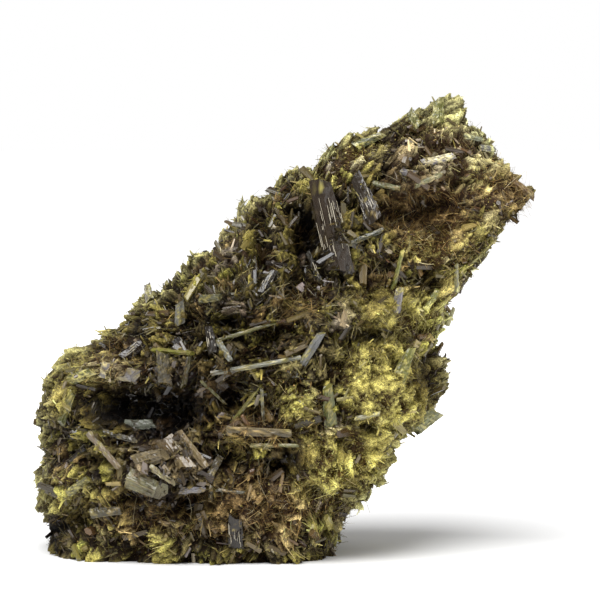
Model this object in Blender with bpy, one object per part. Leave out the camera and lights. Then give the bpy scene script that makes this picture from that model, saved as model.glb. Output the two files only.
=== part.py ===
"""A loose specimen of epidote: one lump of intergrown crystals, about 84 mm wide.

The lump is one solid. Its ground mass is a soft form drawn out to the outline that the
specimen shows from the front, with hollows, swellings and broken faces. Blades and prisms
of epidote are sunk into it and joined with it, and its underside is cut flat to rest on.
+X is to the right, +Z is up, and the front faces -Y. Sizes are in millimetres until the
points are made. The last step moves the origin to the middle of the flat underside.
"""

import bmesh
import bpy
import math
import random
from mathutils import Matrix, Vector, noise
from mathutils.bvhtree import BVHTree

MM = 0.001

# The place it is seen from: every (across, up) below is a place on the upright plane
# through the origin as seen from here, and the form is put on the same line of sight
EYE = (2.3, -554.0, 76.0)

# The middle of the underside in these coordinates, where the last step puts the origin
MIDDLE = (-0.9, -1.3, 0.0)

# The ground mass: its outline from the front, as (across, up) round its heart
HEART = (-3.5, 27.8)
OUTLINE = (
    (25.9, 27.8), (26.1, 31.0), (25.3, 34.1), (26.4, 37.6), (27.6, 41.9), (32.2, 49.0),
    (37.4, 55.6), (41.6, 60.0), (36.7, 63.8), (34.9, 67.2), (33.5, 69.7), (29.6, 72.6),
    (25.2, 73.6), (20.6, 72.2), (15.9, 70.7), (10.1, 68.8), (4.5, 63.8), (0.5, 63.0),
    (-3.4, 58.8), (-6.2, 57.4), (-8.6, 53.6), (-13.2, 50.3), (-17.2, 46.9), (-20.8, 43.1),
    (-25.9, 40.3), (-29.8, 35.9), (-33.7, 33.4), (-37.8, 30.2), (-40.2, 26.4), (-41.2, 21.5),
    (-40.5, 15.5), (-41.0, 9.5), (-40.0, 3.6), (-38.4, -2.0), (-34.0, -7.0), (-20.0, -9.0),
    (-4.0, -9.0), (6.0, -6.0), (7.9, 0.8), (9.6, 4.9), (11.9, 6.9), (13.5, 8.7),
    (14.1, 11.5), (16.1, 13.3), (17.3, 15.8), (18.6, 18.2), (20.8, 20.3), (23.8, 22.3),
    (24.7, 24.8),
)

# How thick the rock is at its heart, and how it thins towards the upper right tip
FRONT_DEPTH = 20.0
BACK_DEPTH = 19.0
THINNING = 9.5
TIP_AXIS = (0.82, 0.57)
TIP_REACH = 55.0
BOXINESS = 0.82

# Hollows in the front: (across, up), half width, half height, turn in degrees, depth
HOLLOWS = (
    ((3.5, 53.3), 2.7, 4.4, -15, 6.0),
    ((1.2, 56.7), 1.6, 1.4, 0, 2.8),
    ((-9.3, 38.3), 2.6, 1.4, 15, 3.4),
    ((-29.3, 24.8), 5.6, 3.6, 0, 4.6),
    ((-20.5, 22.6), 7.4, 5.0, 0, 4.6),
    ((-35.2, 17.5), 1.9, 1.4, 0, 2.6),
    ((-30.5, 15.3), 2.5, 1.3, 0, 2.6),
    ((-35.7, 4.6), 4.2, 1.9, 25, 3.6),
    ((-9.0, 25.7), 2.8, 3.8, 0, 4.0),
    ((-4.8, 22.7), 2.6, 1.4, 0, 3.2),
    ((-1.5, 14.0), 2.8, 2.1, 0, 3.4),
    ((4.3, 10.3), 2.2, 1.9, 0, 3.2),
    ((13.3, 20.8), 1.3, 1.2, 0, 3.0),
    ((24.0, 45.2), 2.6, 2.4, 0, 4.6),
    ((21.5, 57.4), 7.0, 3.0, 8, 5.0),
    ((27.3, 55.0), 1.2, 0.9, 0, 2.2),
    ((-16.0, 38.3), 2.2, 1.3, 10, 2.4),
    ((22.3, 69.8), 1.4, 1.1, 0, 2.2),
    ((29.0, 62.0), 3.4, 1.3, -12, 2.2),
    ((1.0, 44.5), 1.8, 3.2, 0, 3.2),
    ((13.2, 36.2), 5.4, 1.5, 0, 3.0),
    ((-23.5, 37.0), 1.7, 2.9, -20, 2.6),
    ((11.5, 11.7), 3.8, 1.6, 30, 3.2),
    ((9.8, 16.7), 1.3, 2.6, 0, 2.2),
    ((-17.7, 35.6), 2.7, 1.5, 0, 2.2),
    ((-2.7, 36.6), 3.2, 1.7, 0, 2.2),
    ((-16.8, 7.6), 4.4, 2.2, 0, 3.0),
    ((-11.8, 15.3), 4.2, 2.6, 0, 2.8),
    ((23.4, 29.5), 2.8, 5.6, 0, 3.0),
)

# Swellings of the front, given in the same way with a height
SWELLINGS = (
    ((15.7, 27.8), 6.4, 8.4, 0, 4.4),
    ((8.8, 14.8), 8.2, 5.2, 12, 4.4),
    ((-21.0, 15.0), 8.4, 5.8, 0, 4.4),
    ((-18.5, 31.2), 4.0, 4.4, 0, 3.4),
    ((-28.5, 30.2), 5.2, 2.4, 0, 3.4),
    ((27.3, 65.8), 9.4, 4.0, 0, 2.8),
    ((19.8, 61.0), 8.4, 1.7, 4, 3.0),
    ((7.3, 39.2), 12.4, 2.4, 0, 2.6),
    ((-35.0, 10.3), 5.0, 4.0, 0, 2.2),
    ((-6.0, 43.7), 8.4, 5.0, 0, 2.4),
    ((-6.8, 19.6), 6.4, 1.7, 0, 3.0),
)

# Broken faces of the back and sides: outward direction, distance from the origin, in mm
BROKEN_FACES = (
    ((0.16, 0.96, 0.24), 27.0),
    ((-0.52, 0.80, 0.30), 30.5),
    ((0.34, 0.84, -0.42), 8.5),
    ((-0.22, 0.90, -0.38), 14.0),
    ((-0.93, 0.36, 0.05), 40.5),
    ((0.62, 0.72, -0.30), 14.5),
)
FACE_HARDNESS = 0.85

# Lumps of the whole surface, and the flat faces of blocky crystals it is made up of:
# size across and height
LUMPS = (11.0, 1.3)
BLOCKS = ((5.2, 1.5), (2.9, 0.7))

# Crystals read off the front, from top to bottom. Each has a middle (across, up), a
# direction in degrees from +X, a length, width and thickness, and a rise of its tip in
# degrees off the ground mass.
NAMED_CRYSTALS = (
    ((25.3, 73.2), 86, 4.6, 2.3, 2.0, 0),
    ((21.3, 72.0), 118, 3.6, 1.8, 1.4, 0),
    ((29.8, 70.4), -34, 4.6, 2.0, 1.8, 5),
    ((35.0, 66.2), -18, 3.6, 1.9, 1.6, 5),
    ((31.0, 69.0), -12, 3.4, 1.0, 1.4, 8),
    ((33.4, 67.2), -8, 2.9, 1.3, 1.2, 10),
    ((25.4, 65.4), 14, 5.2, 1.5, 1.4, 8),
    ((20.4, 63.2), -4, 3.2, 1.3, 1.2, 8),
    ((16.8, 61.0), -10, 5.0, 1.1, 1.2, 10),
    ((23.6, 62.0), 24, 5.0, 1.1, 1.2, 10),
    ((13.8, 68.6), 24, 4.8, 1.7, 1.4, 0),
    ((39.4, 60.4), -36, 4.6, 1.7, 1.6, 0),
    ((7.0, 54.2), 108, 14.2, 4.9, 3.4, 8),
    ((10.8, 51.0), 108, 8.0, 1.6, 1.8, 4),
    ((14.2, 59.6), 98, 8.4, 3.2, 2.4, -8),
    ((5.2, 49.0), 112, 6.0, 1.2, 1.4, 0),
    ((13.0, 52.4), 22, 6.4, 1.1, 1.1, 8),
    ((18.6, 47.0), 76, 6.4, 0.9, 1.6, 12),
    ((18.6, 42.0), 80, 3.6, 1.8, 1.2, 10),
    ((24.2, 42.0), 56, 4.4, 1.2, 1.1, 8),
    ((28.4, 45.8), 92, 5.0, 0.9, 1.2, 0),
    ((-6.9, 36.6), 17, 10.6, 0.8, 0.9, 4),
    ((-10.2, 33.4), -55, 4.6, 1.2, 1.1, 10),
    ((-5.0, 31.0), 9, 14.8, 1.0, 1.2, 4),
    ((3.6, 32.8), 58, 8.2, 1.8, 1.5, 14),
    ((-22.9, 43.2), 100, 3.4, 1.6, 1.2, 0),
    ((-17.7, 39.9), 92, 2.8, 2.0, 1.2, 10),
    ((-12.6, 42.3), 8, 4.4, 1.6, 1.3, 8),
    ((-28.0, 29.9), -6, 8.0, 3.1, 1.6, 6),
    ((-18.6, 33.4), -2, 7.4, 1.4, 3.2, 6),
    ((-20.6, 30.0), 96, 6.2, 2.2, 2.2, 0),
    ((-16.4, 30.2), 84, 5.6, 1.0, 2.0, 0),
    ((-18.0, 27.6), 4, 4.6, 1.6, 2.0, 6),
    ((-24.2, 21.2), 5, 4.2, 2.0, 1.2, 12),
    ((-12.0, 26.4), -46, 6.0, 0.6, 0.7, 6),
    ((-6.8, 24.4), 53, 7.6, 0.8, 0.8, 6),
    ((-3.9, 24.1), 94, 6.0, 0.7, 0.7, 4),
    ((-4.6, 19.9), -4, 10.6, 1.7, 1.5, 6),
    ((-2.0, 17.7), 0, 7.2, 0.8, 0.9, 6),
    ((7.2, 24.4), 97, 7.0, 1.7, 1.6, 8),
    ((13.6, 22.6), 12, 4.2, 0.9, 1.2, 14),
    ((-30.4, 16.8), -48, 7.8, 1.3, 1.4, 6),
    ((-27.8, 19.2), -12, 5.6, 1.2, 1.2, 8),
    ((-19.8, 17.4), 62, 6.4, 3.4, 2.2, 14),
    ((-15.6, 17.0), -50, 7.4, 1.5, 1.8, 10),
    ((-23.2, 16.4), 20, 4.6, 3.4, 1.8, 14),
    ((-23.8, 11.2), -22, 6.0, 4.0, 2.8, 12),
    ((-20.6, 12.6), -32, 4.6, 1.2, 1.6, 14),
    ((-15.8, 10.2), 0, 3.8, 1.2, 1.2, 4),
    ((-12.6, 9.6), 90, 3.4, 0.9, 0.9, 6),
    ((-9.4, 10.0), -4, 5.0, 0.7, 0.9, 6),
    ((-12.0, 14.0), 60, 4.2, 1.6, 1.2, 10),
    ((-8.4, 3.2), 92, 6.0, 3.2, 2.0, 4),
    ((23.2, 21.8), 30, 5.6, 3.0, 2.0, 6),
    ((19.4, 30.6), 68, 5.8, 2.8, 2.2, 12),
    ((5.6, 18.6), 58, 6.6, 1.7, 1.7, 12),
    ((-34.6, 11.0), 40, 5.4, 1.6, 1.4, 10),
    ((-30.0, 6.6), 8, 5.2, 2.0, 1.6, 10),
    ((-36.6, 24.0), 70, 5.4, 1.6, 1.3, 8),
    ((-34.0, 29.4), 24, 4.4, 2.0, 1.4, 8),
)

# Crystals strewn over the rest of the surface: how many, and their least and most sizes
STREWN_COUNT = 100
STREWN_SEED = 23
STREWN_LENGTH = (3.6, 8.6)
STREWN_WIDTH = (0.26, 0.46)
STREWN_THICKNESS = (0.5, 0.8)
STREWN_LEAN = (50, 86)
STREWN_SINK = 0.48
STREWN_LOWEST = 2.5

# How the solid is made
FORM_SUBDIVISIONS = 6
FORM_CROWDING = (0.26, 0.0, 0.2)
FORM_KEPT_SHARE = 0.17
JOINED_KEPT_SHARE = 0.85
THICK_SIDES = 6
THIN_SIDES = 4
THICK_FROM = 1.5
STEEPEST = 40.0
PROUD_SHARE = 0.3
CHISEL = 0.55
GROUND_SIZE = 200.0
EPIDOTE = (0.075, 0.082, 0.032, 1.0)


def clear_scene():
    for obj in list(bpy.data.objects):
        bpy.data.objects.remove(obj, do_unlink=True)


def new_collection(name):
    made = bpy.data.collections.new(name)
    bpy.context.scene.collection.children.link(made)
    return made


def epidote_material():
    made = bpy.data.materials.new("epidote")
    made.use_nodes = True
    shader = made.node_tree.nodes["Principled BSDF"]
    shader.inputs["Base Color"].default_value = EPIDOTE
    shader.inputs["Roughness"].default_value = 0.42
    shader.inputs["Metallic"].default_value = 0.0
    return made


def polar_outline():
    """The outline as (angle, distance from the heart), by growing angle."""
    points = []
    for across, up in OUTLINE:
        x, z = across - HEART[0], up - HEART[1]
        points.append((math.atan2(z, x) % math.tau, math.hypot(x, z)))
    return sorted(points)


def reach(angle, polar):
    """How far the outline lies from the heart in this direction."""
    angle = angle % math.tau
    before, after = polar[-1], polar[0]
    for point in polar:
        if point[0] > angle:
            after = point
            break
        before = point
    gap = (after[0] - before[0]) % math.tau
    share = ((angle - before[0]) % math.tau) / gap
    return before[1] + (after[1] - before[1]) * share


def bump(x, z, middle, half_width, half_height, turn):
    """1 at the middle of a hollow or swelling, falling smoothly to 0 at its edge."""
    dx, dz = x - middle[0], z - middle[1]
    c, s = math.cos(math.radians(turn)), math.sin(math.radians(turn))
    across, up = dx * c + dz * s, dz * c - dx * s
    distance = (across / half_width) ** 2 + (up / half_height) ** 2
    return max(0.0, 1.0 - distance / 2.2) ** 2


def seen_at(x, y, z):
    """The place on the upright plane through the origin where this point is seen."""
    nearer = EYE[1] / (EYE[1] - y)
    return EYE[0] + (x - EYE[0]) * nearer, EYE[2] + (z - EYE[2]) * nearer


def seen_point(surface, across, up):
    """The point of the rock, in mm, that is seen at this place from the front."""
    eye = Vector(EYE) * MM
    target = Vector((across, 0.0, up)) * MM
    hit = surface.ray_cast(eye, (target - eye).normalized())[0]
    if hit is None:
        hit = surface.find_nearest(target)[0]
    return hit / MM


def front_relief(x, z):
    """How far the front stands out beyond its smooth form at this place."""
    height = 0.0
    for middle, half_width, half_height, turn, rise in SWELLINGS:
        height += rise * bump(x, z, middle, half_width, half_height, turn)
    for middle, half_width, half_height, turn, depth in HOLLOWS:
        height -= depth * bump(x, z, middle, half_width, half_height, turn)
    return height


def block_face(spot):
    """Height of the tilted flat face of the block that covers this spot, about -1 to 1."""
    middle = noise.voronoi(spot)[1][0]
    tilt = noise.cell_vector(middle * 7.3) * 2.0 - Vector((1.0, 1.0, 1.0))
    return 0.5 * tilt.x + 1.3 * tilt.dot(spot - middle)


def ground_point(way, polar):
    """The point of the ground mass in this direction from its heart, in mm."""
    rim = math.hypot(way.x, way.z)
    angle = math.atan2(way.z, way.x)
    out = reach(angle, polar) * rim**BOXINESS
    x, z = HEART[0] + out * math.cos(angle), HEART[1] + out * math.sin(angle)
    towards_tip = (x - HEART[0]) * TIP_AXIS[0] + (z - HEART[1]) * TIP_AXIS[1]
    thinning = THINNING * min(1.0, max(0.0, towards_tip / TIP_REACH))
    share = abs(way.y) ** BOXINESS
    if way.y < 0:
        y = -(FRONT_DEPTH - thinning) * share
        edge_fade = min(1.0, 2.2 * share)
        y -= front_relief(*seen_at(x, y, z)) * edge_fade
    else:
        y = (BACK_DEPTH - thinning) * share
    point = Vector((x, y, z))
    for direction, distance in BROKEN_FACES:
        face = Vector(direction).normalized()
        beyond = face.dot(point) - distance
        if beyond > 0:
            point -= face * beyond * FACE_HARDNESS
    lump_size, lump_height = LUMPS
    rise = lump_height * noise.fractal(point / lump_size, 1.0, 2.0, 2)
    for size, height in BLOCKS:
        rise += height * block_face(point / size)
    return point + way * rise


def ground_mass(material):
    """The lump that the crystals grow from: a sphere drawn out to the rock's form.

    Its points are crowded a little towards the long upper right end.
    """
    mesh = bpy.data.meshes.new("epidote_cluster")
    shape = bmesh.new()
    bmesh.ops.create_icosphere(shape, subdivisions=FORM_SUBDIVISIONS, radius=1.0)
    polar = polar_outline()
    for vertex in shape.verts:
        way = (vertex.co + Vector(FORM_CROWDING)).normalized()
        vertex.co = ground_point(way, polar) * MM
    shape.to_mesh(mesh)
    shape.free()
    mesh.materials.append(material)
    return bpy.data.objects.new("epidote_cluster", mesh)


def crystal(name, size, place, where):
    """A flattened prism with a chisel end, along +Z of its own place."""
    length, width, thickness = size
    sides = THICK_SIDES if width > THICK_FROM else THIN_SIDES
    mesh = bpy.data.meshes.new(name)
    shape = bmesh.new()
    bmesh.ops.create_cone(
        shape, cap_ends=True, segments=sides, radius1=0.5, radius2=0.5, depth=1.0
    )
    for vertex in shape.verts:
        if vertex.co.z > 0:
            vertex.co.z -= CHISEL * (vertex.co.x + 0.5) * width / length
            vertex.co.xy *= 0.86
        vertex.co = Vector(
            (vertex.co.x * width, vertex.co.y * thickness * 1.15, vertex.co.z * length)
        )
    shape.transform(place)
    bmesh.ops.scale(shape, vec=(MM, MM, MM), verts=shape.verts)
    shape.to_mesh(mesh)
    shape.free()
    made = bpy.data.objects.new(name, mesh)
    made.hide_render = True
    made.display_type = "WIRE"
    where.objects.link(made)
    return made


def set_up(along, outward, middle):
    """A place whose +Z runs along the crystal and whose +Y looks out of the rock."""
    z_axis = along.normalized()
    x_axis = outward.cross(z_axis).normalized()
    y_axis = z_axis.cross(x_axis)
    turn = Matrix((x_axis, y_axis, z_axis)).transposed().to_4x4()
    return Matrix.Translation(middle) @ turn


def named_crystals(surface, where):
    """The crystals read off the front, each laid along the ground mass at its place."""
    for number, row in enumerate(NAMED_CRYSTALS):
        (across, up), direction, length, width, thickness, rise = row
        turn = math.radians(direction)
        half_across, half_up = 0.4 * length * math.cos(turn), 0.4 * length * math.sin(turn)
        root = seen_point(surface, across - half_across, up - half_up)
        middle = seen_point(surface, across, up)
        tip = seen_point(surface, across + half_across, up + half_up)
        slope = math.degrees(math.atan2(root.y - tip.y, 0.8 * length))
        slope = math.radians(max(-STEEPEST, min(STEEPEST, slope)) + rise)
        along = Vector(
            (math.cos(turn) * math.cos(slope), -math.sin(slope), math.sin(turn) * math.cos(slope))
        )
        middle.y = (root.y + middle.y + tip.y) / 3 - PROUD_SHARE * thickness
        place = set_up(along, Vector((0.0, -1.0, 0.0)), middle)
        crystal(f"named_{number:02d}", (length, width, thickness), place, where)


def strewn_crystals(body, where):
    """Blades that lie this way and that, spread evenly over the rest of the surface."""
    draw = random.Random(STREWN_SEED)
    faces = [p for p in body.data.polygons if p.center.z > STREWN_LOWEST * MM]
    weights = [p.area for p in faces]
    for number in range(STREWN_COUNT):
        face = draw.choices(faces, weights)[0]
        outward = face.normal.copy()
        lean = math.radians(draw.uniform(*STREWN_LEAN))
        swing = Matrix.Rotation(draw.uniform(0.0, math.tau), 3, outward)
        sideways = swing @ outward.orthogonal().normalized()
        along = outward * math.cos(lean) + sideways * math.sin(lean)
        length = draw.uniform(*STREWN_LENGTH)
        width = length * draw.uniform(*STREWN_WIDTH)
        thickness = width * draw.uniform(*STREWN_THICKNESS)
        middle = face.center / MM + along * length * (0.5 - STREWN_SINK)
        place = set_up(along, outward, middle)
        crystal(f"strewn_{number:03d}", (length, width, thickness), place, where)


def ground_cutter(where):
    """Everything below the resting plane, for cutting the underside flat."""
    bpy.ops.mesh.primitive_cube_add(size=1.0)
    made = bpy.context.object
    made.name = "below_the_ground"
    made.data.transform(Matrix.Scale(GROUND_SIZE * MM, 4))
    made.location = (0.0, 0.0, -GROUND_SIZE * MM / 2)
    for owner in made.users_collection:
        owner.objects.unlink(made)
    where.objects.link(made)
    made.hide_render = True
    made.display_type = "WIRE"
    return made


def keep_largest_body(body):
    """Drop the tiny closed pockets and chips that lie apart from the one solid."""
    seen = body.evaluated_get(bpy.context.evaluated_depsgraph_get())
    whole = bpy.data.meshes.new_from_object(seen)
    body.modifiers.clear()
    body.data = whole
    shape = bmesh.new()
    shape.from_mesh(whole)
    groups = []
    waiting = set(shape.verts)
    while waiting:
        group, edge = set(), {waiting.pop()}
        while edge:
            group |= edge
            waiting -= edge
            edge = {e.other_vert(v) for v in edge for e in v.link_edges} - group
        groups.append(group)
    groups.sort(key=len)
    for group in groups[:-1]:
        bmesh.ops.delete(shape, geom=list(group), context="VERTS")
    shape.to_mesh(whole)
    shape.free()


def build():
    clear_scene()
    rock = new_collection("epidote_crystal_cluster")
    crystals = new_collection("crystals_to_join")
    cutters = new_collection("cutters")

    body = ground_mass(epidote_material())
    rock.objects.link(body)
    fewer = body.modifiers.new("fewer_faces", "DECIMATE")
    fewer.ratio = FORM_KEPT_SHARE
    surface = BVHTree.FromObject(body, bpy.context.evaluated_depsgraph_get())
    named_crystals(surface, crystals)
    strewn_crystals(body, crystals)

    join = body.modifiers.new("grown_together", "BOOLEAN")
    join.operation = "UNION"
    join.operand_type = "COLLECTION"
    join.collection = crystals
    join_fewer = body.modifiers.new("fewer_joined_faces", "DECIMATE")
    join_fewer.ratio = JOINED_KEPT_SHARE
    join_fewer.use_collapse_triangulate = True
    cut = body.modifiers.new("flat_underside", "BOOLEAN")
    cut.operation = "DIFFERENCE"
    cut.object = ground_cutter(cutters)
    keep_largest_body(body)
    body.data.transform(Matrix.Translation(-Vector(MIDDLE) * MM))


build()
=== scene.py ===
# %% [markdown]
# # Epidote crystal cluster
# This specimen is a loose lump of rock that is almost nothing but crystals: dark green
# blades and prisms of epidote, grown through each other, with crusts of tiny yellow-green
# grains and hollows felted with brown fibres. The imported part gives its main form. This
# notebook grows the fine crystals over that form, finishes them, and lights them.

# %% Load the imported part
import bmesh
import bpy
import math
import numpy as np
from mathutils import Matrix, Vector, noise


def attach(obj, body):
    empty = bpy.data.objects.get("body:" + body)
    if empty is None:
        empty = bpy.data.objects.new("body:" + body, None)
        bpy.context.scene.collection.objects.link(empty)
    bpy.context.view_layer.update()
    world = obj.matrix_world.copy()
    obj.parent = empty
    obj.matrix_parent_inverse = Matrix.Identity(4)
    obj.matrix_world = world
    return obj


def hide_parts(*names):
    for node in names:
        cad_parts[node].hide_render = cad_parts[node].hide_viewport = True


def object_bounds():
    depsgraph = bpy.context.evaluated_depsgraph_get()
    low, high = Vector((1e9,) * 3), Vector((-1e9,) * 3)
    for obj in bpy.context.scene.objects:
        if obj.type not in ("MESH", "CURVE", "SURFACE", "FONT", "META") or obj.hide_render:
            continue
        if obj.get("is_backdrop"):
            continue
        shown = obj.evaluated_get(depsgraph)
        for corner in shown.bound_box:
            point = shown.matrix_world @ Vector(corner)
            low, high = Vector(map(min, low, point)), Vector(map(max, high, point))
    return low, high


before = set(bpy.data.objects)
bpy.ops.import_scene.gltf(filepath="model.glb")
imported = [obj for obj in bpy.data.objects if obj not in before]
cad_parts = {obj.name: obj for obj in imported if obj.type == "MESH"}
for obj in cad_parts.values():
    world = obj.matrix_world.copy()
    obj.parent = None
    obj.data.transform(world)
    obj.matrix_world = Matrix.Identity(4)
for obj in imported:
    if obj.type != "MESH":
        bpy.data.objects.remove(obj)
CAD_LOW, CAD_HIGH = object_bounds()
MM = 0.001

# %% [markdown]
# ## The camera
# A small stone is best seen from far off through a long lens, so that its near and far
# faces keep their true proportions. The camera stands level with the upper crystals, and
# the frame is 100 mm wide where the stone is.

# %% Camera
MIDDLE = (-0.9, -1.3, 0.0)
EYE = (2.3, -554.0, 76.0)
AIM = (2.33, 0.0, 42.0)


def in_frame(place):
    """A place in the drawing's millimetres as a place in the part's metres."""
    return (Vector(place) - Vector(MIDDLE)) * MM


lens = bpy.data.cameras.new("camera")
lens.lens = 200.0
lens.sensor_width = 36.0
lens.clip_end = 20.0
camera = bpy.data.objects.new("camera", lens)
bpy.context.scene.collection.objects.link(camera)
camera.location = in_frame(EYE)
camera.rotation_euler = (in_frame(AIM) - in_frame(EYE)).to_track_quat("-Z", "Y").to_euler()
bpy.context.scene.camera = camera
print("camera distance in mm:", round((Vector(AIM) - Vector(EYE)).length))

# %% [markdown]
# ## The studio
# The stone stands on a plain white floor under a white sky. Far from the stone the floor
# glows a little, so that it runs into the sky without an edge. The sky lights the stone less
# than it shows behind it, so that the gaps between the crystals stay dark.

# %% Floor and sky
FLOOR_EDGE = 4.0
FLOOR_GLOW = 0.72
GLOW_FROM, GLOW_TO = 0.03, 0.20
SKY_LIGHT = 0.36
WHITE = (1.0, 1.0, 1.0, 1.0)


def set_sockets(node, values):
    """Give some sockets of a node their values."""
    for socket, value in values.items():
        node.inputs[socket].default_value = value


def add_node(nodes, kind, sockets, **settings):
    """A new shader node with some sockets and settings."""
    made = nodes.new("ShaderNode" + kind)
    for setting, value in settings.items():
        setattr(made, setting, value)
    set_sockets(made, sockets)
    return made


floor_mesh = bpy.data.meshes.new("floor")
turned = ((-1, -1), (1, -1), (1, 1), (-1, 1))
floor_corners = [(x * FLOOR_EDGE, y * FLOOR_EDGE, 0.0) for x, y in turned]
floor_mesh.from_pydata(floor_corners, [], [(0, 1, 2, 3)])
floor = bpy.data.objects.new("floor", floor_mesh)
bpy.context.scene.collection.objects.link(floor)
floor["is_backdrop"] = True

paper = bpy.data.materials.new("white_paper")
paper.use_nodes = True
nodes, links = paper.node_tree.nodes, paper.node_tree.links
paper_shader = nodes["Principled BSDF"]
set_sockets(paper_shader, {"Base Color": (0.93, 0.93, 0.93, 1.0), "Emission Color": WHITE})
set_sockets(paper_shader, {"Roughness": 0.9, "Specular IOR Level": 0.1})
floor_place = add_node(nodes, "TexCoord", {})
from_stone = add_node(nodes, "VectorMath", {}, operation="LENGTH")
links.new(floor_place.outputs["Object"], from_stone.inputs[0])
glow_range = {"From Min": GLOW_FROM, "From Max": GLOW_TO, "To Max": FLOOR_GLOW}
glow = add_node(nodes, "MapRange", glow_range, interpolation_type="SMOOTHSTEP")
links.new(from_stone.outputs["Value"], glow.inputs["Value"])
links.new(glow.outputs["Result"], paper_shader.inputs["Emission Strength"])
floor_mesh.materials.append(paper)

sky = bpy.data.worlds.new("white_sky")
bpy.context.scene.world = sky
sky.use_nodes = True
nodes, links = sky.node_tree.nodes, sky.node_tree.links
nodes.clear()
seen_sky = add_node(nodes, "Background", {"Color": WHITE, "Strength": 1.0})
lit_sky = add_node(nodes, "Background", {"Color": WHITE, "Strength": SKY_LIGHT})
ray = add_node(nodes, "LightPath", {})
seen_or_lit = add_node(nodes, "MixShader", {})
sky_out = add_node(nodes, "OutputWorld", {})
links.new(ray.outputs["Is Camera Ray"], seen_or_lit.inputs["Fac"])
links.new(lit_sky.outputs["Background"], seen_or_lit.inputs[1])
links.new(seen_sky.outputs["Background"], seen_or_lit.inputs[2])
links.new(seen_or_lit.outputs["Shader"], sky_out.inputs["Surface"])
print("floor glow and sky light:", FLOOR_GLOW, SKY_LIGHT)

# %% [markdown]
# A large lamp from above gives the crystal faces their glints, and a weaker one from the
# right keeps the shaded side readable. Small lamps would give hard shadows.

# %% Lamps
KEY_POWER = 10.2
FILL_POWER = 1.0
LIT_SPOT = (0.0, 0.0, 0.04)


def softbox(name, place, power, size):
    """A square lamp that looks at the middle of the stone."""
    lamp = bpy.data.lights.new(name, "AREA")
    lamp.energy = power
    lamp.size = size
    made = bpy.data.objects.new(name, lamp)
    bpy.context.scene.collection.objects.link(made)
    made.location = place
    look = Vector(LIT_SPOT) - made.location
    made.rotation_euler = look.to_track_quat("-Z", "Y").to_euler()


softbox("key_lamp", (-0.15, -0.38, 0.72), KEY_POWER, 0.60)
softbox("fill_lamp", (0.62, -0.42, 0.30), FILL_POWER, 0.40)
bpy.context.scene.view_settings.view_transform = "Standard"
bpy.context.scene.view_settings.look = "None"
print("key and fill in watts:", KEY_POWER, FILL_POWER)

# %% [markdown]
# ## The form of the rock
# The crystals grow out of a lump, which could be sculpted or scanned. Here it is a formula,
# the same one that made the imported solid: a sphere is drawn out to the outline that the
# stone shows from the front, then hollows and swellings are pressed into it. Because solid
# and surface share their numbers, one covers the other, and this one can be far finer.

# %% Numbers of the form
HEART = (-3.5, 27.8)
OUTLINE = (
    (25.9, 27.8), (26.1, 31), (25.3, 34.1), (26.4, 37.6), (27.6, 41.9), (32.2, 49),
    (37.4, 55.6), (41.6, 60), (36.7, 63.8), (34.9, 67.2), (33.5, 69.7), (29.6, 72.6),
    (25.2, 73.6), (20.6, 72.2), (15.9, 70.7), (10.1, 68.8), (4.5, 63.8), (0.5, 63),
    (-3.4, 58.8), (-6.2, 57.4), (-8.6, 53.6), (-13.2, 50.3), (-17.2, 46.9), (-20.8, 43.1),
    (-25.9, 40.3), (-29.8, 35.9), (-33.7, 33.4), (-37.8, 30.2), (-40.2, 26.4), (-41.2, 21.5),
    (-40.5, 15.5), (-41, 9.5), (-40, 3.6), (-38.4, -2), (-34, -7), (-20, -9),
    (-4, -9), (6, -6), (7.9, 0.8), (9.6, 4.9), (11.9, 6.9), (13.5, 8.7),
    (14.1, 11.5), (16.1, 13.3), (17.3, 15.8), (18.6, 18.2), (20.8, 20.3), (23.8, 22.3),
    (24.7, 24.8),
)
FRONT_DEPTH = 20.0
BACK_DEPTH = 19.0
THINNING = 9.5
TIP_AXIS = (0.82, 0.57)
TIP_REACH = 55.0
BOXINESS = 0.82
HOLLOWS = (
    ((3.5, 53.3), 2.7, 4.4, -15, 6), ((1.2, 56.7), 1.6, 1.4, 0, 2.8),
    ((-9.3, 38.3), 2.6, 1.4, 15, 3.4), ((-29.3, 24.8), 5.6, 3.6, 0, 4.6),
    ((-20.5, 22.6), 7.4, 5, 0, 4.6), ((-35.2, 17.5), 1.9, 1.4, 0, 2.6),
    ((-30.5, 15.3), 2.5, 1.3, 0, 2.6), ((-35.7, 4.6), 4.2, 1.9, 25, 3.6),
    ((-9, 25.7), 2.8, 3.8, 0, 4), ((-4.8, 22.7), 2.6, 1.4, 0, 3.2),
    ((-1.5, 14), 2.8, 2.1, 0, 3.4), ((4.3, 10.3), 2.2, 1.9, 0, 3.2),
    ((13.3, 20.8), 1.3, 1.2, 0, 3), ((24, 45.2), 2.6, 2.4, 0, 4.6),
    ((21.5, 57.4), 7, 3, 8, 5), ((27.3, 55), 1.2, 0.9, 0, 2.2),
    ((-16, 38.3), 2.2, 1.3, 10, 2.4), ((22.3, 69.8), 1.4, 1.1, 0, 2.2),
    ((29, 62), 3.4, 1.3, -12, 2.2), ((1, 44.5), 1.8, 3.2, 0, 3.2),
    ((13.2, 36.2), 5.4, 1.5, 0, 3), ((-23.5, 37), 1.7, 2.9, -20, 2.6),
    ((11.5, 11.7), 3.8, 1.6, 30, 3.2), ((9.8, 16.7), 1.3, 2.6, 0, 2.2),
    ((-17.7, 35.6), 2.7, 1.5, 0, 2.2), ((-2.7, 36.6), 3.2, 1.7, 0, 2.2),
    ((-16.8, 7.6), 4.4, 2.2, 0, 3), ((-11.8, 15.3), 4.2, 2.6, 0, 2.8),
    ((23.4, 29.5), 2.8, 5.6, 0, 3),
)
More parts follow.
